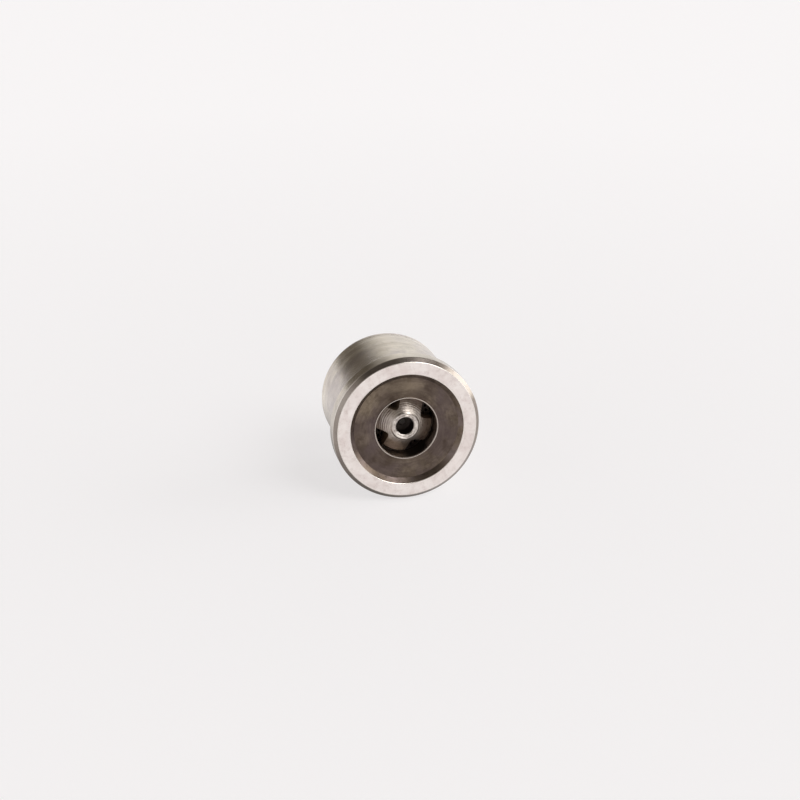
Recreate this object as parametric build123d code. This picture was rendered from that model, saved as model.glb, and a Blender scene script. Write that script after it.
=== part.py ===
"""In-line thermostatic steam trap of the wafer pattern, size DN15.

The trap is clamped between two pipe flanges.  Condensate enters at the inlet face (-Y end),
passes four ports round the hub of a guide spider and a strainer screen, flows past a stack of
bimetal discs and leaves through a seat at the outlet end (+Y).  Heat makes the disc pairs
dish and lengthen the stack, which pulls the stem towards the inlet and brings the valve head
onto the seat.  The model is the cold, fully open trap.

Frame: millimetres, +Z up, +Y along the flow, origin on the axis at mid-length.  Places along
the axis are stations, measured from the inlet face.
"""
from build123d import *
from math import pi
import os

# --- housing --------------------------------------------------------------------------------
LENGTH = 38.5             # face to face
RIM_R = 26.5              # flange rim, sits inside the M12 bolts of a DN15 PN40 flange
FACE_OUTER_R = 25.0       # outer edge of the inlet gasket face
RIM_END = 6.8             # station where the flange rim ends
BARREL_R = 23.6           # barrel behind the rim
EDGE = 0.3                # chamfer on turned edges
SMALL_EDGE = 0.15         # chamfer on small pieces and at the body seam

FACE_INNER_R = 20.6       # inner edge of the inlet gasket face
RECESS_FLOOR_R = 18.9     # floor of the inlet recess
RECESS_DEPTH = 1.65
LIP_R = 11.5              # raised lip round the inlet bore
LIP_STATION = 1.4
BORE_R = 11.1             # inlet bore

CAVITY_R = 17.5           # chamber round the bimetal stack
SHOULDER = 27.0           # body shoulder under the body gasket
GASKET_THICK = 1.0
THREAD_R = 20.0           # screwed joint of the outlet end piece, at its mean size
SEAM = 36.4               # station of the seam between barrel and outlet end piece
NECK_R = 19.2             # undercut behind the end piece's rim
OUTLET_FACE_INNER_R = 17.0
OUTLET_RECESS_R = 15.8
OUTLET_RECESS_DEPTH = 1.2
SPANNER_CIRCLE_R = 13.3   # two blind holes for a pin spanner
SPANNER_HOLE_R = 1.75
SPANNER_HOLE_DEPTH = 3.5

# --- guide spider ---------------------------------------------------------------------------
HUB_TIP = 3.4             # station of the hub's inlet end
HUB_TIP_R = 5.05
HUB_HOLE_R = 3.2
CONE_FOOT = 6.9           # station and radius where the webs' conical front ends
CONE_FOOT_R = 10.2
CONE_END = 8.3            # station where the webs meet the bore
SPIDER_BACK = 12.0
SPIDER_FLANGE_R = 15.0
SPACER_INNER_R = 13.0     # ring behind the spider's flange
WEB_WIDTH = 8.4
WEB_LEAN = 20.0           # degrees from +Z towards +X
PORT_CORNER_R = 1.6
BUSH_START = 8.6
BUSH_LENGTH = 1.6
BUSH_R = 3.6
SCREEN_BOSS_R = 6.0       # boss behind the hub that the screen bears on
SCREEN_BOSS_BORE_R = 3.9

# --- strainer -------------------------------------------------------------------------------
SCREEN_START = 13.2
SCREEN_THICK = 0.6
SCREEN_ROWS = 4
SCREEN_ROW_PITCH = 1.5
SCREEN_HOLE_R = 0.55
SCREEN_HOLE_SPACING = 1.75
CIRCLIP_THICK = 1.0
CIRCLIP_INNER_R = 15.6
CIRCLIP_GAP = 1.6
LUG_R = 1.9
LUG_CENTRE_R = 14.6
LUG_HOLE_R = 0.75
LUG_TURN = 9.0            # degrees from the gap's middle to each lug
CIRCLIP_GROOVE_R = 18.4
CIRCLIP_PLAY = 0.1        # axial play in the groove

# --- valve ----------------------------------------------------------------------------------
STEM_R = 1.5
STEM_TIP = 8.4            # station of the stem's free end, cold
STROKE = 1.4              # lift of the valve head, cold and fully open
ORIFICE_R = 2.4
SEAT_FACE = 31.2          # station of the flat, lapped seat
SEAT_LAND_R = 3.6
SEAT_THREAD_R = 5.0
SEAT_GASKET_THICK = 0.6
COLLAR_START = 24.6       # hexagon of the seat, on the inlet side of the end piece
COLLAR_FLATS = 12.0
SPIGOT_R = 3.0            # spigot that centres the support plate
SPIGOT_LENGTH = 0.8
SEAT_GUIDE_DEPTH = 0.6    # how far the stem guide reaches into the collar
SEAT_HOLE_R = 0.9         # radial inlet holes, one in each flat of the collar
WEB_START = SHOULDER + GASKET_THICK   # end piece web that the seat is screwed into
WEB_END = 31.0
CHAMBER_R = 10.5          # outlet chamber and bore
HEAD_R = 3.3
HEAD_THICK = 1.8
RIVET_R = 1.0             # reduced stem end that holds the head
RIVET_HEIGHT = 0.4

# --- fits -----------------------------------------------------------------------------------
SLIP = 0.02               # radial clearance of a located fit
GUIDE_SLIP = 0.05         # radial clearance of a guided, moving fit
RING_PLAY = 0.1           # radial clearance of a loose ring
FACE_GAP = 0.04           # axial gap between stacked pieces that move apart

# --- bimetal element ------------------------------------------------------------------------
DISC_R = 10.5
DISC_THICK = 0.5
DISC_COUNT = 10
DISC_PITCH = DISC_THICK + FACE_GAP
DISC_PLAY = 0.3           # radial clearance round the stem
SUPPORT_THICK = 1.0
WASHER_R = 4.2
WASHER_THICK = 0.8
ADJUST_NUT_THICK = 2.0
LOCK_NUT_THICK = 1.4
NUT_FLATS = 6.0
SPRING_WIRE_R = 0.2
SPRING_COIL_R = 2.05
SPRING_TURNS = 3.5

# --- stations that follow from the sizes above ----------------------------------------------
SUPPORT_FACE = COLLAR_START - SUPPORT_THICK
STACK_START = SUPPORT_FACE - DISC_COUNT * DISC_PITCH
WASHER_START = STACK_START - WASHER_THICK
ADJUST_NUT_START = WASHER_START - ADJUST_NUT_THICK
LOCK_NUT_START = ADJUST_NUT_START - LOCK_NUT_THICK
HEAD_FACE = SEAT_FACE + STROKE + FACE_GAP / 2
SCREEN_END = SCREEN_START + SCREEN_THICK
COLLAR_END = WEB_START - SEAT_GASKET_THICK


# --- building blocks ------------------------------------------------------------------------
def turned(*outline):
    """A solid turned about the flow axis from an outline of (station, radius) points."""
    corners = [(radius, station - LENGTH / 2) for station, radius in outline]
    return revolve(make_face(Polyline(*corners, close=True)), Axis.Y)


def tube(start, end, inner_r, outer_r):
    """A plain ring between two stations."""
    return turned((start, inner_r), (start, outer_r), (end, outer_r), (end, inner_r))


def eased_tube(start, end, inner_r, outer_r, edge):
    """A ring between two stations with its outer edges chamfered."""
    return turned(
        (start, inner_r),
        (start, outer_r - edge),
        (start + edge, outer_r),
        (end - edge, outer_r),
        (end, outer_r - edge),
        (end, inner_r),
    )


def across(station):
    """The plane square to the flow axis at a station, local x along +Z and local y along +X."""
    return Plane(origin=(0, station - LENGTH / 2, 0), x_dir=(0, 0, 1), z_dir=(0, 1, 0))


def prism(sketch, start, end):
    """A sketch drawn square to the flow axis, pushed from one station to the other."""
    return extrude(across(start) * sketch, amount=end - start)


def hexagon(flats, start, end, bore_r):
    """A hexagonal nut or collar whose corners are turned off at both ends."""
    block = prism(RegularPolygon(flats / 2, 6, major_radius=False), start, end)
    return block & eased_tube(start, end, bore_r, flats / 3**0.5, EDGE)


# --- housing pieces -------------------------------------------------------------------------
def inlet_body():
    """Flange rim, barrel and cavity, turned from one bar."""
    groove_end = SCREEN_END + CIRCLIP_THICK + 2 * CIRCLIP_PLAY
    relief_r = THREAD_R + 0.4
    relief_end = SHOULDER + 1.6
    return turned(
        (0.0, FACE_INNER_R),
        (0.0, FACE_OUTER_R),
        (RIM_R - FACE_OUTER_R, RIM_R),
        (RIM_END - EDGE, RIM_R),
        (RIM_END, RIM_R - EDGE),
        (RIM_END, BARREL_R),
        (SEAM - SMALL_EDGE, BARREL_R),
        (SEAM, BARREL_R - SMALL_EDGE),
        (SEAM, THREAD_R + EDGE),
        (SEAM - EDGE, THREAD_R),
        (relief_end, THREAD_R),
        (relief_end, relief_r),
        (SHOULDER, relief_r),
        (SHOULDER, CAVITY_R),
        (groove_end, CAVITY_R),
        (groove_end, CIRCLIP_GROOVE_R),
        (SCREEN_END, CIRCLIP_GROOVE_R),
        (SCREEN_END, CAVITY_R),
        (SPIDER_BACK, CAVITY_R),
        (SPIDER_BACK, SPIDER_FLANGE_R),
        (CONE_END, SPIDER_FLANGE_R),
        (CONE_END, BORE_R),
        (LIP_STATION, BORE_R),
        (LIP_STATION, LIP_R),
        (RECESS_DEPTH, LIP_R),
        (RECESS_DEPTH, RECESS_FLOOR_R),
    )


def outlet_end_piece():
    """Screwed-in end piece: gasket face, outlet chamber, seat web and two spanner holes."""
    recess_floor = LENGTH - OUTLET_RECESS_DEPTH
    chamber_edge = 0.5
    neck_start = SEAM - 1.5
    piece = turned(
        (WEB_START, SEAT_THREAD_R),
        (WEB_START, THREAD_R - SLIP - EDGE),
        (WEB_START + EDGE, THREAD_R - SLIP),
        (neck_start, THREAD_R - SLIP),
        (neck_start, NECK_R),
        (SEAM, NECK_R),
        (SEAM, BARREL_R - SMALL_EDGE),
        (SEAM + SMALL_EDGE, BARREL_R),
        (LENGTH - EDGE, BARREL_R),
        (LENGTH, BARREL_R - EDGE),
        (LENGTH, OUTLET_FACE_INNER_R),
        (recess_floor, OUTLET_RECESS_R),
        (recess_floor, CHAMBER_R + chamber_edge),
        (recess_floor - chamber_edge, CHAMBER_R),
        (WEB_END, CHAMBER_R),
        (WEB_END, SEAT_THREAD_R),
    )
    holes = Sketch() + PolarLocations(SPANNER_CIRCLE_R, 2) * Circle(SPANNER_HOLE_R)
    return piece - prism(holes, recess_floor - SPANNER_HOLE_DEPTH, LENGTH)


def body_gasket():
    """Graphite ring between the body shoulder and the outlet end piece."""
    return tube(SHOULDER, WEB_START, CAVITY_R + RING_PLAY, THREAD_R - RING_PLAY)


# --- spider and strainer pieces -------------------------------------------------------------
def port_outline():
    """One flow port: a round-cornered opening between two webs, out to the bore."""
    corner = Rectangle(BORE_R, BORE_R, align=(Align.MIN, Align.MIN))
    corner = fillet(corner.vertices().sort_by_distance((0, 0, 0))[0], PORT_CORNER_R)
    return (Pos(WEB_WIDTH / 2, WEB_WIDTH / 2) * corner) & Circle(BORE_R)


def guide_spider():
    """Hub on four webs; the webs' inlet side is one turned cone that rises to the hub."""
    hole_edge = 0.35
    tip_edge = 0.25
    spider = turned(
        (SPIDER_BACK, BUSH_R),
        (BUSH_START, BUSH_R),
        (BUSH_START, HUB_HOLE_R),
        (HUB_TIP + hole_edge, HUB_HOLE_R),
        (HUB_TIP, HUB_HOLE_R + hole_edge),
        (HUB_TIP, HUB_TIP_R - tip_edge),
        (HUB_TIP + tip_edge, HUB_TIP_R),
        (CONE_FOOT, CONE_FOOT_R),
        (CONE_END, BORE_R - SLIP),
        (CONE_END, SPIDER_FLANGE_R - SLIP),
        (SPIDER_BACK, SPIDER_FLANGE_R - SLIP),
        (SPIDER_BACK, SCREEN_BOSS_R),
        (SCREEN_START, SCREEN_BOSS_R),
        (SCREEN_START, SCREEN_BOSS_BORE_R),
        (SPIDER_BACK, SCREEN_BOSS_BORE_R),
    )
    port = prism(port_outline(), 0.0, SPIDER_BACK + EDGE)
    for quarter in range(4):
        spider -= Rot(Y=WEB_LEAN + 90 * quarter) * port
    return spider


def guide_bush():
    """Plain bush pressed into the back of the hub; it guides the free end of the stem."""
    bore_r = STEM_R + GUIDE_SLIP
    return tube(BUSH_START, BUSH_START + BUSH_LENGTH, bore_r, BUSH_R - SLIP)


def spacer_ring():
    """Ring that holds the spider in its seat and the screen clear of the ports."""
    return tube(SPIDER_BACK, SCREEN_START, SPACER_INNER_R, CAVITY_R - SLIP)


def strainer_screen():
    """Perforated disc over the ports, with plain margins where it is held."""
    first_row_r = SCREEN_BOSS_R + 2 * SCREEN_HOLE_R
    plate = Circle(CAVITY_R - RING_PLAY) - Circle(SCREEN_BOSS_BORE_R)
    for row in range(SCREEN_ROWS):
        row_r = first_row_r + row * SCREEN_ROW_PITCH
        count = int(2 * pi * row_r / SCREEN_HOLE_SPACING)
        plate -= PolarLocations(row_r, count) * Circle(SCREEN_HOLE_R)
    return prism(plate, SCREEN_START, SCREEN_END)


def strainer_circlip():
    """Internal retaining ring, open at the bottom between two lugs with plier holes."""
    ring = Circle(CIRCLIP_GROOVE_R - RING_PLAY) - Circle(CIRCLIP_INNER_R)
    lugs = [Rot(Z=180 + side * LUG_TURN) * Pos(LUG_CENTRE_R, 0) for side in (-1, 1)]
    for lug in lugs:
        ring += lug * Circle(LUG_R)
    ring -= Pos(-CAVITY_R, 0) * Rectangle(4 * LUG_R, CIRCLIP_GAP)
    for lug in lugs:
        ring -= lug * Circle(LUG_HOLE_R)
    start = SCREEN_END + CIRCLIP_PLAY
    return prism(ring, start, start + CIRCLIP_THICK)


# --- valve pieces ---------------------------------------------------------------------------
def valve_seat():
    """Seat screwed into the end piece: stem guide, radial inlet holes and flat seat."""
    guide_end = COLLAR_START + SEAT_GUIDE_DEPTH
    guide_r = STEM_R + GUIDE_SLIP
    thread_r = SEAT_THREAD_R - SLIP
    core = turned(
        (COLLAR_START - SPIGOT_LENGTH, guide_r),
        (COLLAR_START - SPIGOT_LENGTH, SPIGOT_R),
        (COLLAR_START, SPIGOT_R),
        (COLLAR_START, SEAT_THREAD_R),
        (COLLAR_END, SEAT_THREAD_R),
        (COLLAR_END, thread_r),
        (WEB_END, thread_r),
        (WEB_END, SEAT_LAND_R + SEAT_FACE - WEB_END),
        (SEAT_FACE, SEAT_LAND_R),
        (SEAT_FACE, ORIFICE_R),
        (guide_end, ORIFICE_R),
        (guide_end, guide_r),
    )
    seat = core + hexagon(COLLAR_FLATS, COLLAR_START, COLLAR_END, SPIGOT_R)
    middle = across((guide_end + COLLAR_END) / 2)
    drill = Cylinder(SEAT_HOLE_R, 2 * COLLAR_FLATS)
    for pair in range(3):
        seat -= middle * Rot(Z=30 + 60 * pair) * Rot(Y=90) * drill
    return seat


def seat_gasket():
    """Thin ring that seals the seat's collar on the end piece web."""
    return tube(COLLAR_END, WEB_START, SEAT_THREAD_R + 0.05, COLLAR_FLATS / 2 + 0.3)


def valve_stem():
    """Stem with a chamfered free end and a riveted end that holds the valve head."""
    head_back = HEAD_FACE + HEAD_THICK
    rivet_end = head_back + RIVET_HEIGHT
    return turned(
        (STEM_TIP, 0.0),
        (STEM_TIP, STEM_R - EDGE),
        (STEM_TIP + EDGE, STEM_R),
        (HEAD_FACE, STEM_R),
        (HEAD_FACE, RIVET_R),
        (head_back, RIVET_R),
        (head_back, STEM_R),
        (rivet_end - SMALL_EDGE, STEM_R),
        (rivet_end, STEM_R - SMALL_EDGE),
        (rivet_end, 0.0),
    )


def valve_head():
    """Flat-faced valve head with a tapered back."""
    return turned(
        (HEAD_FACE, RIVET_R + SLIP),
        (HEAD_FACE, HEAD_R - SMALL_EDGE),
        (HEAD_FACE + SMALL_EDGE, HEAD_R),
        (HEAD_FACE + HEAD_THICK / 2, HEAD_R),
        (HEAD_FACE + HEAD_THICK, HEAD_R - HEAD_THICK / 2),
        (HEAD_FACE + HEAD_THICK, RIVET_R + SLIP),
    )


# --- bimetal element ------------------------------------------------------------------------
def support_plate():
    """Fixed plate on the seat's spigot that the bimetal stack bears on."""
    return eased_tube(SUPPORT_FACE, COLLAR_START, SPIGOT_R + SLIP, DISC_R, SMALL_EDGE)


def bimetal_disc(index):
    """One of the stacked discs, counted from the support plate towards the inlet."""
    end = SUPPORT_FACE - index * DISC_PITCH - FACE_GAP
    return tube(end - DISC_THICK, end, STEM_R + DISC_PLAY, DISC_R)


def thrust_washer():
    """Hard washer between the stack and the adjusting nut."""
    end = WASHER_START + WASHER_THICK - FACE_GAP
    return eased_tube(WASHER_START, end, STEM_R + SLIP, WASHER_R, SMALL_EDGE)


def adjusting_nut():
    return hexagon(NUT_FLATS, ADJUST_NUT_START, WASHER_START, STEM_R + SLIP)


def lock_nut():
    return hexagon(NUT_FLATS, LOCK_NUT_START, ADJUST_NUT_START, STEM_R + SLIP)


def return_spring():
    """Light compression spring between the guide bush and the lock nut."""
    start = BUSH_START + BUSH_LENGTH + SPRING_WIRE_R + FACE_GAP
    end = LOCK_NUT_START - SPRING_WIRE_R - FACE_GAP
    height = end - start
    coil = Helix(height / SPRING_TURNS, height, SPRING_COIL_R)
    section = Plane(origin=coil @ 0, z_dir=coil % 0) * Circle(SPRING_WIRE_R)
    return across(start) * sweep(section, path=coil)


def all_pieces():
    """Every piece by its node name."""
    pieces = {
        "inlet_body": inlet_body(),
        "guide_spider": guide_spider(),
        "guide_bush": guide_bush(),
        "spacer_ring": spacer_ring(),
        "strainer_screen": strainer_screen(),
        "strainer_circlip": strainer_circlip(),
        "return_spring": return_spring(),
        "lock_nut": lock_nut(),
        "adjusting_nut": adjusting_nut(),
        "thrust_washer": thrust_washer(),
        "support_plate": support_plate(),
        "valve_seat": valve_seat(),
        "seat_gasket": seat_gasket(),
        "valve_stem": valve_stem(),
        "valve_head": valve_head(),
        "outlet_end_piece": outlet_end_piece(),
        "body_gasket": body_gasket(),
    }
    for index in range(DISC_COUNT):
        pieces[f"bimetal_disc_{index + 1:02d}"] = bimetal_disc(index)
    return pieces


os.makedirs("parts", exist_ok=True)
for name, piece in all_pieces().items():
    export_step(piece, f"parts/{name}.step")
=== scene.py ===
"""Looks of the wafer-pattern steam trap: a used, turned stainless steel body on a pale floor.

Stations are millimetres along the flow axis (+Y) from the inlet face, and radii are from that
axis; every mesh is in metres in the frame of the CAD model.
"""

import math

import bmesh
import bpy
from mathutils import Matrix, Vector


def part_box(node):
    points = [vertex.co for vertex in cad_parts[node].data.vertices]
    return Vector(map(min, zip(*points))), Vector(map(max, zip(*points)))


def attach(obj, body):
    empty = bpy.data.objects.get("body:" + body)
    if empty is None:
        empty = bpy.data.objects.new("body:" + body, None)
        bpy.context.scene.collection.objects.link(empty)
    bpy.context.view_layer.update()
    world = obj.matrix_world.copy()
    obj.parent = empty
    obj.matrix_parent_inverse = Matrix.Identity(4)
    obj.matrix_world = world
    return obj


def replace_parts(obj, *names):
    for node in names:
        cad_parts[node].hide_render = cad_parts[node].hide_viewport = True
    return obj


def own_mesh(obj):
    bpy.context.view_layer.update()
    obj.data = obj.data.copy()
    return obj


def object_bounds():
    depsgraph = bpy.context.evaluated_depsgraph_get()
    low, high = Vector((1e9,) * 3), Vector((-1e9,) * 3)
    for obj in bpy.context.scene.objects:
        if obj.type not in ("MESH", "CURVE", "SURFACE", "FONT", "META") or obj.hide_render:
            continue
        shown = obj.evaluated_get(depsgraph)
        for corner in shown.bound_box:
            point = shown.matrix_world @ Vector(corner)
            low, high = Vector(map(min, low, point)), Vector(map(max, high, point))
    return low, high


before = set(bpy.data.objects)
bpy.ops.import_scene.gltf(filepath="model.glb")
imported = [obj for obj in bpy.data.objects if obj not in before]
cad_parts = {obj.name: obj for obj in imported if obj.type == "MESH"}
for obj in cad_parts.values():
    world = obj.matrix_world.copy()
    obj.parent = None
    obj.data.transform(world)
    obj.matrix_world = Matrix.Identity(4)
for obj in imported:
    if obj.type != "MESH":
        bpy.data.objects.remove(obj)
cad_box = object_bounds()

MM = 0.001
HALF_LENGTH = (cad_box[1].y - cad_box[0].y) / MM / 2
LENGTH = 2 * HALF_LENGTH


def start_of(node):
    """Station of a CAD node's inlet end."""
    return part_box(node)[0].y / MM + HALF_LENGTH


def end_of(node):
    """Station of a CAD node's outlet end."""
    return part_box(node)[1].y / MM + HALF_LENGTH


def reach_of(node):
    """Outer radius of a turned CAD node."""
    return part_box(node)[1].x / MM


# --- body, from the frame and the drawing of the CAD part -----------------------------------
RIM_R = cad_box[1].x / MM
BARREL_R = reach_of("outlet_end_piece")
SEAM = end_of("inlet_body")
RIM_END = 6.8
CHAMFER = 1.5
FACE_OUTER_R = RIM_R - CHAMFER
FACE_INNER_R = 20.6
RECESS_R = 18.9
RECESS_DEPTH = 1.65
LIP_R = 11.5
LIP_STATION = 1.4
LIP_CHAMFER = 0.3         # bevel from the lip into the bore
LIP_CHAMFER_R = 0.2
LIP_FOOT = 0.1            # how far the lip widens towards the floor of the recess
BORE_R = 11.1
CAVITY_R = 17.5
THREAD_R = 20.0
THREAD_RELIEF_R = 20.4
SHOULDER = start_of("body_gasket")
RELIEF_END = SHOULDER + 1.6
GROOVE_START = end_of("strainer_screen")
GROOVE_END = GROOVE_START + 1.2
GROOVE_R = 18.4
EDGE = 0.3
SMALL_EDGE = 0.15
BODY_ROUND = 0.16         # rounded corners of the body and of the end piece
END_ROUND = 0.1

# --- outlet end piece -----------------------------------------------------------------------
WEB_START = start_of("outlet_end_piece")
WEB_END = 31.0
SEAT_THREAD_R = 5.0
NECK_R = 19.2
NECK_START = SEAM - 1.5
OUTLET_FACE_INNER_R = 17.0
OUTLET_RECESS_R = 15.8
OUTLET_RECESS_DEPTH = 1.2
CHAMBER_R = 10.5
CHAMBER_EDGE = 0.5
SPANNER_CIRCLE_R = 13.3
SPANNER_HOLE_R = 1.75
SPANNER_HOLE_DEPTH = 3.5
COUNTERSINK = 0.2

# --- guide spider ---------------------------------------------------------------------------
HUB_TIP = start_of("guide_spider")
HUB_TIP_R = 5.05
HUB_HOLE_R = 3.2
CONE_FOOT = HUB_TIP + 3.5
CONE_FOOT_R = 10.2
CONE_END = HUB_TIP + 4.9
SPIDER_R = reach_of("guide_spider")
SPIDER_BACK = start_of("spacer_ring")
BUSH_START = start_of("guide_bush")
BUSH_R = 3.6
CONE_GAP = 0.02           # between the foot of the cone and the bore
BOSS_END = start_of("strainer_screen")
BOSS_R = 6.0
BOSS_BORE_R = 3.9
WEB_WIDTH = 8.4
WEB_LEAN = 20.0
PORT_CORNER_R = 1.6
TIP_EDGE = 0.3
HOLE_EDGE = 0.35
CONE_GROOVE_PITCH = 0.8   # the real feed marks are finer; these are coarse enough to show
CONE_GROOVE_DEPTH = 0.05
TIP_GROOVE_HALF_WIDTH = 0.15
TIP_GROOVE_DEPTH = 0.08

# --- spring and stem ------------------------------------------------------------------------
WIRE_R = 0.2
WIRE_FACETS = 10
SPRING_TURNS = 3.5
STEPS_PER_TURN = 40

STEPS = 180               # facets round a turned piece
CREASE = 12               # degrees past which an edge stays sharp
WIRE_CREASE = 60
CORNER = 24               # degrees past which a corner of a turned piece is rounded
WELD = 0.001              # millimetres within which two points are one
NEAR = 0.2                # millimetres by which a search for corners reaches past a radius
PAST = 1.0                # millimetres by which a search or a cutter goes past a piece

# --- camera and floor, in metres and degrees ------------------------------------------------
CAMERA_AZIMUTH = -13.07
CAMERA_ELEVATION = 20.36
CAMERA_DISTANCE = 0.563
CAMERA_LEFT = 0.00265
CAMERA_UP = 0.01048
LENS = 72                 # millimetres
SENSOR = 36
FLOOR_HALF_SIZE = 12.0


# --- camera ---------------------------------------------------------------------------------
def aim_camera():
    """A long lens, a little above and to the left of the inlet side."""
    azimuth, elevation = math.radians(CAMERA_AZIMUTH), math.radians(CAMERA_ELEVATION)
    right = Vector((math.cos(azimuth), math.sin(azimuth), 0))
    back = Vector((math.sin(azimuth) * math.cos(elevation),
                   -math.cos(azimuth) * math.cos(elevation),
                   math.sin(elevation)))
    up = back.cross(right)
    inlet_face = Vector((0, cad_box[0].y, 0))
    data = bpy.data.cameras.new("camera")
    data.lens, data.sensor_width = LENS, SENSOR
    camera = bpy.data.objects.new("camera", data)
    camera.matrix_world = Matrix((right, up, back)).transposed().to_4x4()
    camera.location = (inlet_face + back * CAMERA_DISTANCE - right * CAMERA_LEFT
                       + up * CAMERA_UP)
    bpy.context.scene.collection.objects.link(camera)
    bpy.context.scene.camera = camera


# --- material tools -------------------------------------------------------------------------
def linear(hex_colour):
    """An sRGB hex colour as the linear colour that a shader takes."""
    parts = [int(hex_colour[i:i + 2], 16) / 255 for i in (0, 2, 4)]
    return [p / 12.92 if p <= 0.04045 else ((p + 0.055) / 1.055) ** 2.4 for p in parts] + [1]


def add(tree, kind, inputs=None, stops=None, **settings):
    """Adds a node with its settings, its inputs (a socket is linked, a value is set) and, on a
    colour ramp, its (place, hex colour) stops."""
    node = tree.nodes.new(kind)
    for name, value in settings.items():
        setattr(node, name, value)
    for name, value in (inputs or {}).items():
        if isinstance(value, bpy.types.NodeSocket):
            tree.links.new(value, node.inputs[name])
        else:
            node.inputs[name].default_value = value
    if stops:
        points = node.color_ramp.elements
        while len(points) < len(stops):
            points.new(1.0)
        for point, (place, colour) in zip(points, stops):
            point.position, point.color = place, linear(colour)
    return node


def material(name, **constants):
    """A new material with a Principled shader; constants are set on the shader's own sockets."""
    made = bpy.data.materials.new(name)
    made.use_nodes = True
    tree = made.node_tree
    shader = tree.nodes["Principled BSDF"]
    for key, value in constants.items():
        shader.inputs[key.replace("_", " ")].default_value = value
    return made, tree, shader


def turning_coordinates(tree):
    """A point in millimetres, its distance from the flow axis and its place along it."""
    place = add(tree, "ShaderNodeTexCoord").outputs["Object"]
    mm = add(tree, "ShaderNodeVectorMath", {0: place, 3: 1 / MM}, operation="SCALE").outputs[0]
    split = add(tree, "ShaderNodeSeparateXYZ", {0: mm})
    flat = add(tree, "ShaderNodeCombineXYZ", {0: split.outputs[0], 2: split.outputs[2]})
    radius = add(tree, "ShaderNodeVectorMath", {0: flat.outputs[0]}, operation="LENGTH")
    return mm, radius.outputs["Value"], split.outputs[1]


def tool_rings(tree, travel, pitch, seed, mm=None, break_up=0.0):
    """Tool marks a pitch apart, 0 to 1, that change with the travel of the tool only; break_up
    lets them fade and swell on their way round."""
    lane = add(tree, "ShaderNodeCombineXYZ", {0: travel, 1: seed}).outputs[0]
    if break_up:
        sway = add(tree, "ShaderNodeTexNoise", {"Vector": mm, "Scale": 0.09, "Detail": 2.0})
        lift = add(tree, "ShaderNodeVectorMath", {0: sway.outputs["Color"], 3: break_up},
                   operation="SCALE")
        lane = add(tree, "ShaderNodeVectorMath", {0: lane, 1: lift.outputs[0]}).outputs[0]
    rings = add(tree, "ShaderNodeTexNoise", {"Vector": lane, "Scale": 1 / pitch, "Detail": 3.0,
                                             "Roughness": 0.7})
    return rings.outputs["Fac"]


def scratches(tree, mm):
    """Short straight handling scratches in a few patches, 0 to 1."""
    drawn_out = add(tree, "ShaderNodeMapping", {"Vector": mm, "Rotation": (0.4, 0.9, 0.3),
                                                "Scale": (0.3, 4.0, 4.0)}).outputs[0]
    dashes = add(tree, "ShaderNodeTexVoronoi", {"Vector": drawn_out}).outputs["Distance"]
    dashes = add(tree, "ShaderNodeMapRange", {"Value": dashes, "From Max": 0.2, "To Min": 1.0,
                                              "To Max": 0.0}).outputs[0]
    patches = add(tree, "ShaderNodeTexNoise", {"Vector": mm, "Scale": 0.15}).outputs["Fac"]
    patches = add(tree, "ShaderNodeMapRange", {"Value": patches, "From Min": 0.5,
                                               "From Max": 0.62}).outputs[0]
    return add(tree, "ShaderNodeMath", {0: dashes, 1: patches}, operation="MULTIPLY").outputs[0]


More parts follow.
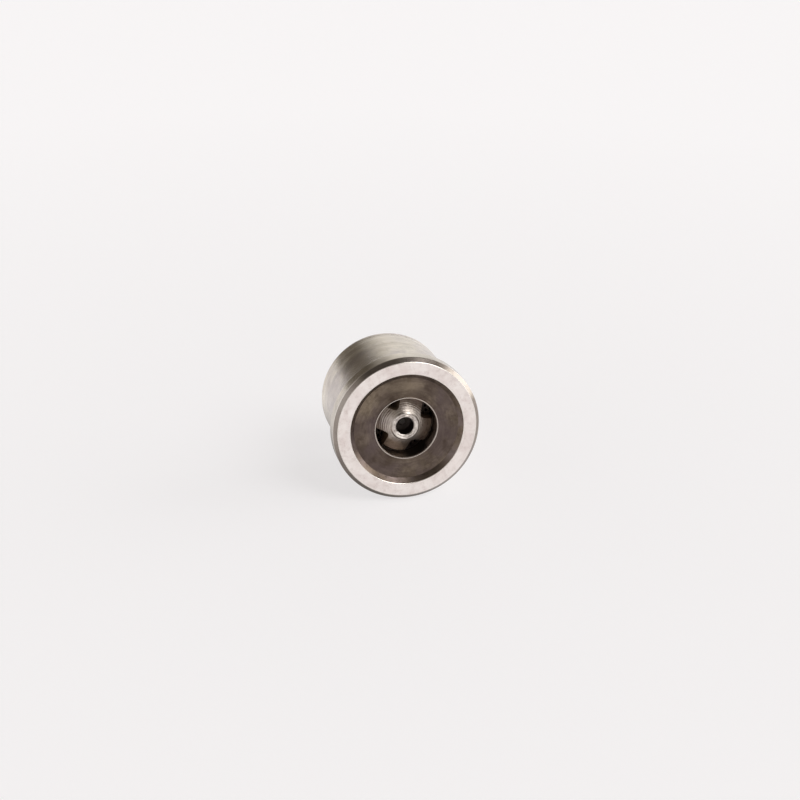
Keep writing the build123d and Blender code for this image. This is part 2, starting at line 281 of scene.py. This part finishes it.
def steel(name, along, colours, roughness, pitch=0.35, ring_depth=0.012, blotch=9.0,
          tint="8f8288", tint_amount=0.3, stain="4a4038", stain_amount=0.3, break_up=0.6,
          mottle=0.45, metallic=1.0):
    """Stainless steel off a machine.  Tool marks run round the axis in streaks of colour and of
    gloss, and mottle is how far clouds hide them; heat tint and brown stains, blotch
    millimetres wide, lie over them, with thin scratches.  Real feed marks are about 0.1 mm
    apart: a pitch is in millimetres, as coarse as its marks need to show."""
    made, tree, shader = material(name, Metallic=metallic)
    mm, radius, station = turning_coordinates(tree)
    travel = {"radius": radius, "station": station}[along]
    fine = tool_rings(tree, travel, pitch, 3.1, mm, break_up)
    broad = tool_rings(tree, travel, pitch * 7, 7.7, mm, break_up * 2)
    cloud = add(tree, "ShaderNodeTexNoise", {"Vector": mm, "Scale": 1 / blotch, "Detail": 6.0,
                                             "Roughness": 0.62}).outputs["Fac"]
    streaks = add(tree, "ShaderNodeMix", {0: 0.5, 2: fine, 3: broad}).outputs[0]
    patchy = add(tree, "ShaderNodeMix", {0: mottle, 2: streaks, 3: cloud}).outputs[0]
    base = add(tree, "ShaderNodeValToRGB", {0: patchy}, colours).outputs[0]

    shifted = add(tree, "ShaderNodeMapping", {"Vector": mm, "Location": (31, 17, 5)}).outputs[0]
    heat = add(tree, "ShaderNodeTexNoise", {"Vector": shifted, "Scale": 0.8 / blotch,
                                            "Detail": 4.0, "Distortion": 0.8}).outputs["Fac"]
    heat = add(tree, "ShaderNodeMapRange", {"Value": heat, "From Min": 0.4, "From Max": 0.7,
                                            "To Max": tint_amount}).outputs[0]
    base = add(tree, "ShaderNodeMix", {0: heat, 6: base, 7: linear(tint)},
               data_type="RGBA").outputs[2]
    dirt = add(tree, "ShaderNodeTexNoise", {"Vector": shifted, "Scale": 2.2 / blotch,
                                            "Detail": 8.0, "Roughness": 0.7}).outputs["Fac"]
    dirt = add(tree, "ShaderNodeMapRange", {"Value": dirt, "From Min": 0.5, "From Max": 0.7,
                                            "To Max": stain_amount}).outputs[0]
    base = add(tree, "ShaderNodeMix", {0: dirt, 6: base, 7: linear(stain)},
               data_type="RGBA").outputs[2]
    tree.links.new(base, shader.inputs["Base Color"])

    dull = add(tree, "ShaderNodeMapRange", {"Value": patchy, "From Min": 0.35, "From Max": 0.65,
                                            "To Min": roughness[0], "To Max": roughness[1]})
    tree.links.new(dull.outputs[0], shader.inputs["Roughness"])
    marks = scratches(tree, mm)
    height = add(tree, "ShaderNodeMath", {0: fine, 1: marks}, operation="SUBTRACT").outputs[0]
    bump = add(tree, "ShaderNodeBump", {"Height": height, "Strength": 0.35,
                                        "Distance": ring_depth * MM})
    tree.links.new(bump.outputs[0], shader.inputs["Normal"])
    return made


def graphite():
    """Expanded graphite sheet, pressed.  Gives a soft black-grey sheen with a fine grain."""
    made, tree, shader = material("pressed_graphite", Metallic=0.0)
    mm = turning_coordinates(tree)[0]
    grain = add(tree, "ShaderNodeTexNoise", {"Vector": mm, "Scale": 1 / 0.4, "Detail": 5.0})
    base = add(tree, "ShaderNodeValToRGB", {0: grain.outputs["Fac"]},
               [(0.35, "26272a"), (0.7, "45464a")])
    tree.links.new(base.outputs[0], shader.inputs["Base Color"])
    dull = add(tree, "ShaderNodeMapRange", {"Value": grain.outputs["Fac"], "To Min": 0.4,
                                            "To Max": 0.65})
    tree.links.new(dull.outputs[0], shader.inputs["Roughness"])
    bump = add(tree, "ShaderNodeBump", {"Height": grain.outputs["Fac"], "Strength": 0.3,
                                        "Distance": 0.02 * MM})
    tree.links.new(bump.outputs[0], shader.inputs["Normal"])
    return made


def finishes():
    """Every finish of the trap by name."""
    return {
        # Lapped stainless steel: an even, bright ring with faint pink-grey handling marks.
        "gasket_face": steel("lapped_stainless_face", "radius", [(0.3, "ede3de"), (0.7, "fcf6f2")],
                             (0.34, 0.46), pitch=0.5, ring_depth=0.006, blotch=4.0,
                             tint="dccdc9", tint_amount=0.5, stain="b5a39a", stain_amount=0.35),
        # Turned stainless steel, a darker grey than the rim: a grey bevel between two light edges.
        "chamfer": steel("darker_turned_stainless", "radius", [(0.3, "8b8279"), (0.7, "a89f96")],
                         (0.18, 0.28), blotch=7.0, stain_amount=0.25),
        # Turned stainless steel, bright: long streaks round the rim.
        "rim": steel("turned_stainless_rim", "station", [(0.3, "b3a99b"), (0.7, "ece4d7")],
                     (0.14, 0.24), blotch=12.0, stain_amount=0.3),
        # Turned stainless steel, heat tinted: olive and purple-grey streaks round the barrel.
        "barrel": steel("turned_stainless_barrel", "station",
                        [(0.3, "b0a597"), (0.42, "cfc5b6"), (0.55, "e4dccf"), (0.7, "f4eee6")],
                        (0.17, 0.3), pitch=0.45, blotch=12.0, tint="a49aa2", tint_amount=0.55,
                        stain_amount=0.25, break_up=0.3),
        # Machined stainless steel inside the body: dull brown-grey with tool marks.
        "cavity": steel("machined_stainless_inside", "station", [(0.3, "3d352f"), (0.7, "5b524a")],
                        (0.35, 0.5)),
        # Bored stainless steel: brown-grey, half covered by stains.
        "bore": steel("bored_stainless", "station", [(0.3, "5f5449"), (0.7, "8a7e71")],
                      (0.25, 0.4), stain="33291f", stain_amount=0.6),
        # Stainless steel edge rubbed bright: a thin light line.
        "lip": steel("rubbed_stainless_lip", "radius", [(0.3, "b5aaa1"), (0.7, "e0d7cf")],
                     (0.22, 0.32), stain_amount=0.1, tint_amount=0.1),
        # Stainless steel stained by steam: mottled brown, olive and purple-grey clouds.
        "recess": steel("steam_stained_stainless", "radius",
                        [(0.36, "493d34"), (0.5, "64584d"), (0.64, "8d7f6e")],
                        (0.34, 0.5), pitch=0.8, blotch=10.0, tint="63565c", tint_amount=0.45,
                        stain="3d3128", stain_amount=0.55, break_up=3.0, mottle=0.6),
        # The same stained steel on the steeper wall: more even in tone and a little glossier.
        "recess_wall": steel("steam_stained_turned_wall", "radius",
                             [(0.3, "5a4e44"), (0.7, "786a5d")],
                             (0.28, 0.38), blotch=6.0, stain="352b23", stain_amount=0.6),
        # Stainless steel edge burnished by handling: a fine bright line round each corner.
        "edge": steel("burnished_stainless_edge", "station", [(0.3, "d8d0c8"), (0.7, "f2ece6")],
                      (0.2, 0.3), stain_amount=0.1, tint_amount=0.1),
        # Grooved, turned stainless steel: bright rings with brown stains over them.
        "web_cone": steel("grooved_stainless_cone", "radius", [(0.3, "a4988d"), (0.7, "e6ddd4")],
                          (0.25, 0.36), pitch=0.5, blotch=4.0, stain="5a4c40",
                          stain_amount=0.5),
        # Faced stainless steel: a bright ring with short tool dashes.
        "hub_tip": steel("faced_stainless_hub", "radius", [(0.38, "958a80"), (0.6, "fbf4ec")],
                         (0.24, 0.36), pitch=0.35, blotch=1.6, stain="7a6a5c",
                         stain_amount=0.5, break_up=3.0),
        # Drilled stainless steel in painted shade: nearly black brown.
        "hub_hole": steel("shade_dark_stainless_hole", "station", [(0.3, "2b241c"), (0.7, "463c31")],
                          (0.35, 0.5), stain="1a140e", stain_amount=0.6),
        # Milled stainless steel in painted shade: dull brown walls with no metal gloss, nearly
        # black in the shade of the ports.
        "web_side": steel("shade_dark_stainless_ports", "station", [(0.3, "5e4c3a"), (0.7, "857058")],
                          (0.5, 0.65), stain="32271d", stain_amount=0.6, metallic=0.0),
        # Stainless sheet in painted shade: dull dark brown with no metal gloss, black behind the
        # ports.
        "shade_dark_sheet": steel("shade_dark_stainless_sheet", "radius", [(0.3, "403226"), (0.7, "5f4f3e")],
                        (0.5, 0.65), stain="32271d", stain_amount=0.6, metallic=0.0),
        # Machined stainless steel, clean: satin grey with fine tool marks.
        "machined": steel("machined_stainless", "radius", [(0.3, "8f8a84"), (0.7, "bcb7b0")],
                          (0.28, 0.4), pitch=0.25, blotch=5.0, stain_amount=0.15),
        # Ground and lapped hardened stainless steel: smooth and bright.
        "lapped": steel("ground_hardened_stainless", "station", [(0.3, "a9a8a6"), (0.7, "d3d1ce")],
                        (0.12, 0.2), pitch=0.15, ring_depth=0.004, blotch=4.0, tint_amount=0.1,
                        stain_amount=0.1),
        # Nitrided stainless steel in painted shade: an even, dull black-brown with no metal gloss.
        "nitrided": steel("nitrided_stainless_shade_dark", "station", [(0.3, "261d13"), (0.7, "392c1f")],
                          (0.5, 0.6), pitch=0.2, ring_depth=0.004, stain_amount=0.1,
                          tint_amount=0.1, metallic=0.0),
        # Drawn spring steel wire, tempered: dark grey with a slight blue.
        "spring": steel("tempered_spring_steel", "radius", [(0.3, "4a4b4f"), (0.7, "6e6f73")],
                        (0.25, 0.38), blotch=4.0, tint="4a4f63", stain_amount=0.2),
        # Rolled bimetal strip: straw-coloured heat tint that turns to brown and violet.
        "bimetal": steel("rolled_bimetal_strip", "radius", [(0.3, "8f7f63"), (0.7, "c3b492")],
                         (0.24, 0.36), pitch=1.2, ring_depth=0.003, blotch=6.0, tint="7a6476",
                         tint_amount=0.6, stain_amount=0.2, break_up=6.0),
        "graphite": graphite(),
    }


NODE_FINISHES = {
    # Parts behind the ports, in the dull dark brown of painted shade.
    "shade_dark_sheet": ["spacer_ring", "strainer_screen", "strainer_circlip"],
    "machined": ["lock_nut", "adjusting_nut", "support_plate"],
    "lapped": ["thrust_washer", "valve_seat", "valve_head"],
    # The stem and the bush in the black-brown of painted shade.
    "nitrided": ["valve_stem", "guide_bush"],
    "bimetal": [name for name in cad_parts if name.startswith("bimetal_disc")],
    "graphite": ["seat_gasket", "body_gasket"],
}


# --- mesh tools -----------------------------------------------------------------------------
def store(bm, mesh, crease=CREASE):
    """Closes a bmesh into a mesh, smooth up to a crease in degrees."""
    for face in bm.faces:
        face.smooth = True
    for edge in bm.edges:
        edge.smooth = not edge.is_manifold or edge.calc_face_angle(0) < math.radians(crease)
    bm.to_mesh(mesh)
    bm.free()


def new_object(name, bm, materials, crease=CREASE):
    """Closes a bmesh into an object with its materials, smooth up to a crease in degrees."""
    mesh = bpy.data.meshes.new(name)
    store(bm, mesh, crease)
    for item in materials:
        mesh.materials.append(item)
    made = bpy.data.objects.new(name, mesh)
    bpy.context.scene.collection.objects.link(made)
    return made


def turned(zones):
    """A closed turned shape from its outline, in zones of (material index, (station, radius)
    points); each zone starts at the last point of the one before."""
    bm = bmesh.new()
    last = zones[-1][1][-1]
    for index, points in zones:
        verts = [bm.verts.new((r * MM, (s - HALF_LENGTH) * MM, 0)) for s, r in [last, *points]]
        edges = [bm.edges.new(pair) for pair in zip(verts, verts[1:])]
        before = set(bm.faces)
        bmesh.ops.spin(bm, geom=verts + edges, cent=(0, 0, 0), axis=(0, 1, 0), dvec=(0, 0, 0),
                       angle=2 * math.pi, steps=STEPS, use_merge=True)
        for face in set(bm.faces) - before:
            face.material_index = index
        last = points[-1]
    bmesh.ops.remove_doubles(bm, verts=bm.verts, dist=WELD * MM)
    bmesh.ops.recalc_face_normals(bm, faces=bm.faces)
    return bm


def ease_corners(bm, width, material_index, stations, inside_r):
    """Rounds a turned shape's corners outside a radius and between two stations."""
    low, high = [(s - HALF_LENGTH) * MM for s in stations]
    corners = []
    for edge in bm.edges:
        middle = (edge.verts[0].co + edge.verts[1].co) / 2
        if (edge.is_manifold and edge.calc_face_angle(0) > math.radians(CORNER)
                and low < middle.y < high and math.hypot(middle.x, middle.z) > inside_r * MM):
            corners.append(edge)
    rounded = bmesh.ops.bevel(bm, geom=corners, offset=width * MM, offset_type="OFFSET",
                              affect="EDGES", segments=2, profile=0.5, material=-1,
                              clamp_overlap=True)
    for face in rounded["faces"]:
        face.material_index = material_index


def cut(target, cutters):
    """Cuts the cutters out of target and makes the result its mesh; the walls of a cut take
    the target's first material."""
    for cutter in cutters:
        tool = target.modifiers.new("cut", "BOOLEAN")
        tool.operation, tool.solver, tool.object = "DIFFERENCE", "EXACT", cutter
    graph = bpy.context.evaluated_depsgraph_get()
    mesh = bpy.data.meshes.new_from_object(target.evaluated_get(graph))
    target.modifiers.clear()
    target.data = mesh
    bm = bmesh.new()
    bm.from_mesh(mesh)
    bmesh.ops.remove_doubles(bm, verts=bm.verts, dist=WELD * MM)
    bmesh.ops.dissolve_degenerate(bm, edges=bm.edges, dist=WELD * MM)
    store(bm, mesh)
    for cutter in cutters:
        bpy.data.objects.remove(cutter)


# --- pieces ---------------------------------------------------------------------------------
def trap_body(finish):
    """Flange rim, barrel, inlet face, recess with its raised lip, bore and inner cavity."""
    names = ["gasket_face", "chamfer", "rim", "barrel", "cavity", "bore", "lip", "recess",
             "recess_wall", "edge"]
    face, chamfer, rim, barrel, cavity, bore, lip, recess, wall, edge = range(len(names))
    bm = turned([
        (face, [(0, FACE_OUTER_R)]),
        (chamfer, [(CHAMFER, RIM_R)]),
        (rim, [(RIM_END - EDGE, RIM_R), (RIM_END, RIM_R - EDGE), (RIM_END, BARREL_R)]),
        (barrel, [(SEAM - SMALL_EDGE, BARREL_R), (SEAM, BARREL_R - SMALL_EDGE)]),
        (cavity, [(SEAM, THREAD_R), (RELIEF_END, THREAD_R), (RELIEF_END, THREAD_RELIEF_R),
                  (SHOULDER, THREAD_RELIEF_R), (SHOULDER, CAVITY_R), (GROOVE_END, CAVITY_R),
                  (GROOVE_END, GROOVE_R), (GROOVE_START, GROOVE_R), (GROOVE_START, CAVITY_R),
                  (SPIDER_BACK, CAVITY_R), (SPIDER_BACK, SPIDER_R), (CONE_END, SPIDER_R),
                  (CONE_END, BORE_R)]),
        (bore, [(LIP_STATION + LIP_CHAMFER, BORE_R)]),
        (lip, [(LIP_STATION, BORE_R + LIP_CHAMFER_R), (LIP_STATION, LIP_R),
               (RECESS_DEPTH, LIP_R + LIP_FOOT)]),
        (recess, [(RECESS_DEPTH, RECESS_R)]),
        (wall, [(0, FACE_INNER_R)]),
    ])
    ease_corners(bm, BODY_ROUND, edge, (-PAST, HALF_LENGTH), FACE_INNER_R - NEAR)
    body = new_object("trap_body", bm, [finish[n] for n in names])
    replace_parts(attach(body, "housing"), "inlet_body")


def pin_cutter(angle):
    """A countersunk cutter for one spanner hole of the outlet end piece."""
    mouth, above = LENGTH - OUTLET_RECESS_DEPTH, PAST / 2
    bottom = mouth - SPANNER_HOLE_DEPTH
    bm = turned([(0, [(bottom, 0), (bottom, SPANNER_HOLE_R), (mouth - COUNTERSINK, SPANNER_HOLE_R),
                      (mouth + above, SPANNER_HOLE_R + COUNTERSINK + above), (mouth + above, 0)])])
    loose = [edge for edge in bm.edges if not edge.link_faces]
    bmesh.ops.delete(bm, geom=loose, context="EDGES")
    bmesh.ops.translate(bm, verts=bm.verts, vec=(0, 0, SPANNER_CIRCLE_R * MM))
    bmesh.ops.rotate(bm, verts=bm.verts, cent=(0, 0, 0), matrix=Matrix.Rotation(angle, 3, "Y"))
    return new_object("pin_cutter", bm, [])


def outlet_end(finish):
    """Screwed-in outlet end: rim behind a fine seam, gasket face, recess and valve chamber."""
    names = ["cavity", "barrel", "gasket_face", "recess_wall", "recess", "edge"]
    cavity, barrel, face, wall, recess, edge = range(len(names))
    recess_floor = LENGTH - OUTLET_RECESS_DEPTH
    bm = turned([
        (barrel, [(SEAM, BARREL_R - SMALL_EDGE), (SEAM + SMALL_EDGE, BARREL_R),
                  (LENGTH - EDGE, BARREL_R), (LENGTH, BARREL_R - EDGE)]),
        (face, [(LENGTH, OUTLET_FACE_INNER_R)]),
        (wall, [(recess_floor, OUTLET_RECESS_R)]),
        (recess, [(recess_floor, CHAMBER_R + CHAMBER_EDGE)]),
        (cavity, [(recess_floor - CHAMBER_EDGE, CHAMBER_R), (WEB_END, CHAMBER_R),
                  (WEB_END, SEAT_THREAD_R), (WEB_START, SEAT_THREAD_R),
                  (WEB_START, THREAD_R - EDGE), (WEB_START + EDGE, THREAD_R),
                  (NECK_START, THREAD_R), (NECK_START, NECK_R), (SEAM, NECK_R)]),
    ])
    ease_corners(bm, END_ROUND, edge, (SEAM + PAST, LENGTH + PAST), OUTLET_FACE_INNER_R - NEAR)
    end = new_object("outlet_end", bm, [finish[n] for n in names])
    cut(end, [pin_cutter(0), pin_cutter(math.pi)])
    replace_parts(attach(end, "housing"), "outlet_end_piece")


def port_cutter(lean):
    """A block with one round corner that cuts a port between two webs, out past the bore."""
    bm = bmesh.new()
    half, reach = WEB_WIDTH / 2, BORE_R
    corners = [(half, half), (reach, half), (reach, reach), (half, reach)]
    front = (HUB_TIP - PAST - HALF_LENGTH) * MM
    verts = [bm.verts.new((x * MM, front, z * MM)) for x, z in corners]
    bm.faces.new(verts)
    bmesh.ops.bevel(bm, geom=[verts[0]], offset=PORT_CORNER_R * MM, offset_type="OFFSET",
                    affect="VERTICES", segments=8, profile=0.5, material=-1)
    drawn = bmesh.ops.extrude_face_region(bm, geom=list(bm.faces))
    moved = [v for v in drawn["geom"] if isinstance(v, bmesh.types.BMVert)]
    bmesh.ops.translate(bm, verts=moved, vec=(0, (BOSS_END + PAST - HUB_TIP) * MM, 0))
    bmesh.ops.rotate(bm, verts=bm.verts, cent=(0, 0, 0), matrix=Matrix.Rotation(lean, 3, "Y"))
    bmesh.ops.recalc_face_normals(bm, faces=bm.faces)
    return new_object("port_cutter", bm, [])


def guide_spider(finish):
    """Four webs under one turned cone that rises to the hub, with tool grooves round it."""
    names = ["web_side", "web_cone", "hub_tip", "hub_hole"]
    side, cone, tip, hole = range(len(names))
    foot = Vector((CONE_FOOT, CONE_FOOT_R))
    top = Vector((HUB_TIP + TIP_EDGE, HUB_TIP_R))
    halves = 2 * round((foot - top).length / CONE_GROOVE_PITCH)
    inwards = Vector((foot.y - top.y, top.x - foot.x)).normalized() * CONE_GROOVE_DEPTH
    grooved = [tuple(top.lerp(foot, i / halves) + inwards * (i % 2)) for i in range(1, halves + 1)]
    tip_inner_r, tip_outer_r = HUB_HOLE_R + HOLE_EDGE, HUB_TIP_R - TIP_EDGE
    ring_r = (tip_inner_r + tip_outer_r) / 2
    bm = turned([
        (cone, [*grooved, (CONE_END, BORE_R - CONE_GAP), (CONE_END, SPIDER_R)]),
        (side, [(SPIDER_BACK, SPIDER_R), (SPIDER_BACK, BOSS_R), (BOSS_END, BOSS_R),
                (BOSS_END, BOSS_BORE_R), (SPIDER_BACK, BOSS_BORE_R), (SPIDER_BACK, BUSH_R),
                (BUSH_START, BUSH_R), (BUSH_START, HUB_HOLE_R)]),
        (hole, [(HUB_TIP + HOLE_EDGE, HUB_HOLE_R)]),
        (tip, [(HUB_TIP, tip_inner_r), (HUB_TIP, ring_r - TIP_GROOVE_HALF_WIDTH),
               (HUB_TIP + TIP_GROOVE_DEPTH, ring_r), (HUB_TIP, ring_r + TIP_GROOVE_HALF_WIDTH),
               (HUB_TIP, tip_outer_r), tuple(top)]),
    ])
    spider = new_object("spider", bm, [finish[n] for n in names])
    cut(spider, [port_cutter(math.radians(WEB_LEAN + 90 * k)) for k in range(4)])
    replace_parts(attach(spider, "housing"), "guide_spider")


def return_spring(finish):
    """Coil spring between the bush and the lock nut."""
    low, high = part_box("return_spring")
    coil_r = reach_of("return_spring") - WIRE_R
    travel = (high.y - low.y) - 2 * WIRE_R * MM
    steps = round(SPRING_TURNS * STEPS_PER_TURN)
    bm = bmesh.new()
    bmesh.ops.create_circle(bm, cap_ends=False, segments=WIRE_FACETS, radius=WIRE_R * MM)
    bmesh.ops.translate(bm, verts=bm.verts, vec=(coil_r * MM, low.y + WIRE_R * MM, 0))
    bmesh.ops.spin(bm, geom=bm.verts[:] + bm.edges[:], cent=(0, 0, 0), axis=(0, 1, 0),
                   dvec=(0, travel / steps, 0), angle=2 * math.pi * SPRING_TURNS, steps=steps)
    bmesh.ops.holes_fill(bm, edges=[e for e in bm.edges if e.is_boundary])
    bmesh.ops.recalc_face_normals(bm, faces=bm.faces)
    spring = new_object("coil_spring", bm, [finish["spring"]], WIRE_CREASE)
    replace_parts(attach(spring, "housing"), "return_spring")
    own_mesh(spring)


# --- studio ---------------------------------------------------------------------------------
def sun(name, towards, strength, width):
    """Soft, even light from a direction; width is the angle that it comes from, in degrees."""
    data = bpy.data.lights.new(name, "SUN")
    data.energy, data.angle = strength, math.radians(width)
    lamp = bpy.data.objects.new(name, data)
    lamp.rotation_mode = "QUATERNION"
    lamp.rotation_quaternion = Vector(towards).to_track_quat("Z", "Y")
    bpy.context.scene.collection.objects.link(lamp)


def room():
    """What the metal mirrors: windows at both sides, a bright sweep behind with a dark screen
    at its left, and a room in front that is dim towards its ceiling.  The camera itself sees
    a plain pale grey."""
    world = bpy.data.worlds.new("room")
    bpy.context.scene.world = world
    world.use_nodes = True
    tree = world.node_tree
    direction = add(tree, "ShaderNodeTexCoord").outputs["Generated"]
    split = add(tree, "ShaderNodeSeparateXYZ", {0: direction})
    across, back, height = split.outputs
    sweep = add(tree, "ShaderNodeValToRGB", {0: height},
                [(0.0, "e0dcd7"), (0.3, "ffffff"), (0.46, "f4eee6"), (0.62, "8a847c"),
                 (1.0, "6a655f")]).outputs[0]
    screen = add(tree, "ShaderNodeValToRGB", {0: height},
                 [(0.0, "aca69e"), (0.05, "9a948c"), (0.2, "645d54"), (1.0, "625b52")]).outputs[0]
    front = add(tree, "ShaderNodeValToRGB", {0: height},
                  [(0.0, "e8e6e3"), (0.2, "b4afa9"), (0.4, "8a847d"), (0.7, "5f5a54"),
                   (1.0, "6a655f")]).outputs[0]
    window = add(tree, "ShaderNodeValToRGB", {0: height},
                 [(0.0, "ffffff"), (0.35, "ffffff"), (0.6, "d2ccc4"), (0.78, "5f5a54")]).outputs[0]
    screened = add(tree, "ShaderNodeMapRange", {"Value": across, "From Min": 0.16,
                                                "From Max": -0.16}).outputs[0]
    behind = add(tree, "ShaderNodeMapRange", {"Value": back, "From Min": -0.15,
                                              "From Max": 0.45}).outputs[0]
    sideways = add(tree, "ShaderNodeMath", {0: across}, operation="ABSOLUTE").outputs[0]
    beside = add(tree, "ShaderNodeMapRange", {"Value": sideways, "From Min": 0.55,
                                              "From Max": 0.8}).outputs[0]
    seen = add(tree, "ShaderNodeMix", {0: screened, 6: sweep, 7: screen},
               data_type="RGBA").outputs[2]
    seen = add(tree, "ShaderNodeMix", {0: behind, 6: front, 7: seen}, data_type="RGBA").outputs[2]
    seen = add(tree, "ShaderNodeMix", {0: beside, 6: seen, 7: window}, data_type="RGBA").outputs[2]
    straight = add(tree, "ShaderNodeLightPath").outputs["Is Camera Ray"]
    shown = add(tree, "ShaderNodeMix", {0: straight, 6: seen, 7: linear("f6f4f4")},
                data_type="RGBA").outputs[2]
    tree.links.new(shown, tree.nodes["Background"].inputs["Color"])


def floor_paper():
    """Matt white paper of a lit sweep: most of its brightness is light of its own, which rises
    with the distance from the trap.  A painted shade, a black mixed in under the trap and at its
    left, is for mirrored and bounced light only, and the camera sees the paper without it."""
    made, tree, shader = material("white_paper_floor", Roughness=0.95, Specular_IOR_Level=0.1,
                                  Base_Color=linear("9a9999"), Emission_Color=linear("fbf9fa"))
    place = add(tree, "ShaderNodeTexCoord").outputs["Object"]
    across, back = add(tree, "ShaderNodeSeparateXYZ", {0: place}).outputs[:2]
    away = add(tree, "ShaderNodeVectorMath", {0: place}, operation="LENGTH").outputs["Value"]
    glow = add(tree, "ShaderNodeMapRange", {"Value": away, "From Max": 0.5, "To Min": 0.68,
                                            "To Max": 0.745})
    tree.links.new(glow.outputs[0], shader.inputs["Emission Strength"])
    # Painted shade: a black mixed in near the trap, stronger at its left and only behind its
    # front, seen by mirrored and bounced light.
    near = add(tree, "ShaderNodeMapRange", {"Value": away, "From Min": 0.035, "From Max": 0.075,
                                            "To Min": 0.6, "To Max": 0.0}).outputs[0]
    left = add(tree, "ShaderNodeMapRange", {"Value": across, "From Min": 0.03, "From Max": -0.01,
                                            "To Min": 0.2}).outputs[0]
    near = add(tree, "ShaderNodeMath", {0: near, 1: left}, operation="MULTIPLY").outputs[0]
    below = add(tree, "ShaderNodeMapRange", {"Value": back, "From Min": -0.024,
                                             "From Max": -0.018}).outputs[0]
    shade = add(tree, "ShaderNodeMath", {0: near, 1: below}, operation="MULTIPLY").outputs[0]
    direct = add(tree, "ShaderNodeLightPath").outputs["Is Camera Ray"]
    mirrored = add(tree, "ShaderNodeMath", {0: 1.0, 1: direct}, operation="SUBTRACT").outputs[0]
    shade = add(tree, "ShaderNodeMath", {0: shade, 1: mirrored}, operation="MULTIPLY").outputs[0]
    dark = add(tree, "ShaderNodeEmission", {"Strength": 0.0})
    mix = add(tree, "ShaderNodeMixShader", {0: shade, 1: shader.outputs[0], 2: dark.outputs[0]})
    tree.links.new(mix.outputs[0], tree.nodes["Material Output"].inputs["Surface"])
    return made


def studio():
    """A pale floor through the lowest points of rim and barrel, with soft light from the upper
    right of the camera and a low, wider one from the right."""
    rim_back, end = (RIM_END - HALF_LENGTH) * MM, (HALF_LENGTH - EDGE) * MM
    slope = math.atan2((RIM_R - BARREL_R) * MM, end - rim_back)
    bm = bmesh.new()
    bmesh.ops.create_grid(bm, x_segments=1, y_segments=1, size=FLOOR_HALF_SIZE)
    bmesh.ops.rotate(bm, verts=bm.verts, cent=(0, 0, 0), matrix=Matrix.Rotation(slope, 3, "X"))
    bmesh.ops.translate(bm, verts=bm.verts, vec=(0, 0, -RIM_R * MM - rim_back * math.tan(slope)))
    new_object("floor", bm, [floor_paper()])
    sun("softbox_over_camera", (0.48, -0.58, 0.66), 1.12, 36)
    sun("window_at_right", (0.94, -0.02, 0.24), 0.9, 40)
    room()


def main():
    aim_camera()
    bpy.context.scene.view_settings.view_transform = "Standard"
    finish = finishes()
    for name, nodes in NODE_FINISHES.items():
        for node in nodes:
            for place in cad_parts[node].material_slots:
                place.material = finish[name]
    trap_body(finish)
    outlet_end(finish)
    guide_spider(finish)
    return_spring(finish)
    studio()


main()
